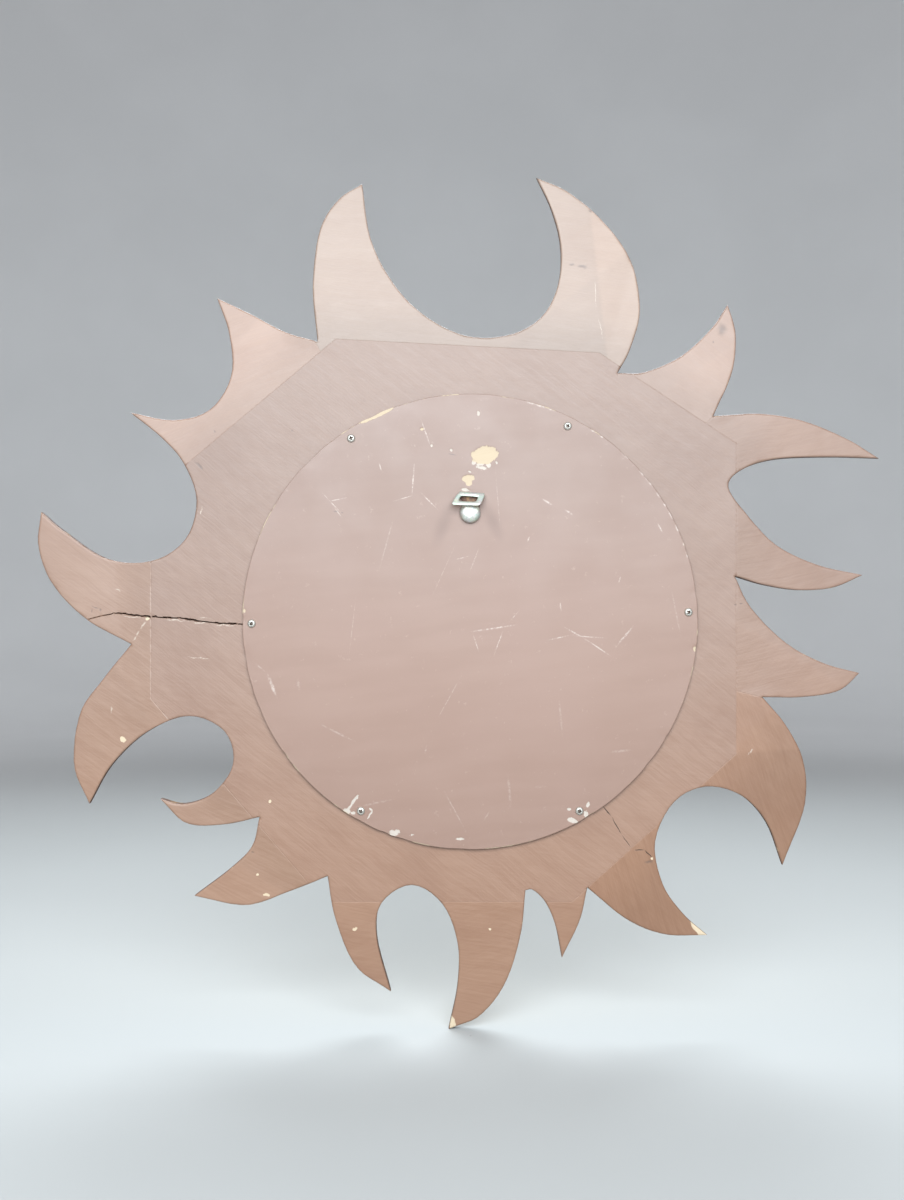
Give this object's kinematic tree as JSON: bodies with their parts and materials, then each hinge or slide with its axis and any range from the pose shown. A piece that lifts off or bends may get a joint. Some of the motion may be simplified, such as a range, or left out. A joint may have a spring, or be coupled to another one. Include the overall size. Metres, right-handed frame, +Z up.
{
  "type": "sunburst wall clock",
  "caption": "Carved wooden sun with curling flames round a hinged glazed bezel, a dial with two hands and a key-wound movement, closed by a screwed back panel with a hanger.",
  "frame": {"origin": "centre of the hanger tab's slot, where the wall hook holds the clock", "axes": "+Z up, -Y out of the dial towards the viewer, +Y towards the wall, +X to the right seen from the front"},
  "size_m": [0.6694, 0.0775, 0.678],
  "materials": {
    "painted_wood": "matte",
    "painted_panel": "matte",
    "gilt_wood": "satin",
    "screw_steel": "satin",
    "zinc": "satin",
    "dial_enamel": "gloss",
    "black_enamel": "gloss",
    "black_metal": "satin",
    "brass": "satin",
    "bezel_brass": "polished",
    "clear_glass": "polished",
    "steel": "polished",
    "blued_steel": "polished"
  },
  "bodies": {
    "case": {"sun_core": "painted_wood", "ray_block_top": "painted_wood", "ray_block_upper_right": "painted_wood", "ray_block_right": "painted_wood", "ray_block_lower_right": "painted_wood", "ray_block_bottom": "painted_wood", "ray_block_lower_left": "painted_wood", "ray_block_left": "painted_wood", "ray_block_upper_left": "painted_wood", "front_moulding": "gilt_wood", "back_panel": "painted_panel", "back_panel_screws": "screw_steel", "hanger_strip": "zinc", "hanger_bolt": "zinc", "hanger_washer": "zinc", "hanger_nut": "zinc", "dial_plate": "dial_enamel", "hour_numerals": "black_enamel", "minute_track": "black_enamel", "dial_screws": "brass", "winding_grommet": "brass", "dial_feet": "brass", "case_hinge_leaf": "brass", "hinge_screws": "brass", "hinge_pin": "brass", "bezel_catch": "brass", "catch_screw": "brass", "front_plate": "brass", "back_plate": "brass", "plate_pillars": "brass", "movement_screws": "steel", "click_spring": "blued_steel", "balance_cups": "steel"},
    "bezel": {"bezel_ring": "bezel_brass", "bezel_glass": "clear_glass", "glass_retainer": "brass", "bezel_hinge_leaf": "brass", "bezel_knob": "bezel_brass"},
    "winding": {"barrel_arbor": "steel", "ratchet_wheel": "steel"},
    "click": {"click": "steel"},
    "barrel": {"barrel_drum": "brass", "barrel_cover": "brass", "mainspring": "blued_steel"},
    "intermediate": {"intermediate_wheel": "brass"},
    "centre": {"centre_arbor": "steel", "centre_wheel": "brass", "cannon_pinion": "steel", "minute_hand": "black_metal", "hand_nut": "brass"},
    "minute_wheel": {"minute_wheel": "brass"},
    "hour": {"hour_wheel": "brass", "hour_hand": "black_metal"},
    "third": {"third_wheel": "brass"},
    "fourth": {"fourth_wheel": "brass"},
    "escape": {"escape_wheel": "brass"},
    "lever": {"pallet_lever": "steel"},
    "balance": {"balance_wheel": "brass", "hairspring": "blued_steel"}
  },
  "joints": [
    {"name": "bezel_hinge", "type": "hinge", "parent": "case", "child": "bezel", "pos_m": [-0.1575, -0.05558, -0.09686], "axis": [0, 0, -1], "range_deg": [0, 110]},
    {"name": "minute_arbor", "type": "hinge", "parent": "case", "child": "centre", "pos_m": [0, -0.03038, -0.09686], "axis": [0, 1, 0], "continuous": true},
    {"name": "minute_wheel_turn", "type": "hinge", "parent": "case", "child": "minute_wheel", "pos_m": [-0.01316, -0.03038, -0.10165], "axis": [0, 1, 0], "continuous": true},
    {"name": "hour_wheel_turn", "type": "hinge", "parent": "case", "child": "hour", "pos_m": [0, -0.03038, -0.09686], "axis": [0, 1, 0], "continuous": true},
    {"name": "intermediate_turn", "type": "hinge", "parent": "case", "child": "intermediate", "pos_m": [0, -0.03038, -0.12311], "axis": [0, 1, 0], "continuous": true},
    {"name": "barrel_turn", "type": "hinge", "parent": "case", "child": "barrel", "pos_m": [0.02625, -0.03038, -0.12311], "axis": [0, 1, 0], "continuous": true},
    {"name": "third_turn", "type": "hinge", "parent": "case", "child": "third", "pos_m": [-0.01871, -0.03038, -0.08606], "axis": [0, 1, 0], "continuous": true},
    {"name": "fourth_turn", "type": "hinge", "parent": "case", "child": "fourth", "pos_m": [-0.01021, -0.03038, -0.07134], "axis": [0, 1, 0], "continuous": true},
    {"name": "escape_turn", "type": "hinge", "parent": "case", "child": "escape", "pos_m": [0.00442, -0.03038, -0.06876], "axis": [0, 1, 0], "continuous": true},
    {"name": "winding_arbor", "type": "hinge", "parent": "case", "child": "winding", "pos_m": [0.02625, -0.03038, -0.12311], "axis": [0, 1, 0], "continuous": true},
    {"name": "click_swing", "type": "hinge", "parent": "case", "child": "click", "pos_m": [0.02365, -0.03038, -0.10834], "axis": [0, -1, 0], "range_deg": [-4, 15]},
    {"name": "lever_swing", "type": "hinge", "parent": "case", "child": "lever", "pos_m": [0.01366, -0.03038, -0.06876], "axis": [0, 1, 0], "range_deg": [-5, 5]},
    {"name": "balance_swing", "type": "hinge", "parent": "case", "child": "balance", "pos_m": [0.02666, -0.03038, -0.06876], "axis": [0, 1, 0], "range_deg": [-150, 150]}
  ],
  "couplings": [
    {"joint": "minute_wheel_turn", "follows": "minute_arbor", "ratio": -0.33333},
    {"joint": "hour_wheel_turn", "follows": "minute_arbor", "ratio": 0.083333},
    {"joint": "intermediate_turn", "follows": "minute_arbor", "ratio": -0.16667},
    {"joint": "barrel_turn", "follows": "minute_arbor", "ratio": 0.027778},
    {"joint": "third_turn", "follows": "minute_arbor", "ratio": -8},
    {"joint": "fourth_turn", "follows": "minute_arbor", "ratio": 60},
    {"joint": "escape_turn", "follows": "minute_arbor", "ratio": -600}
  ]
}
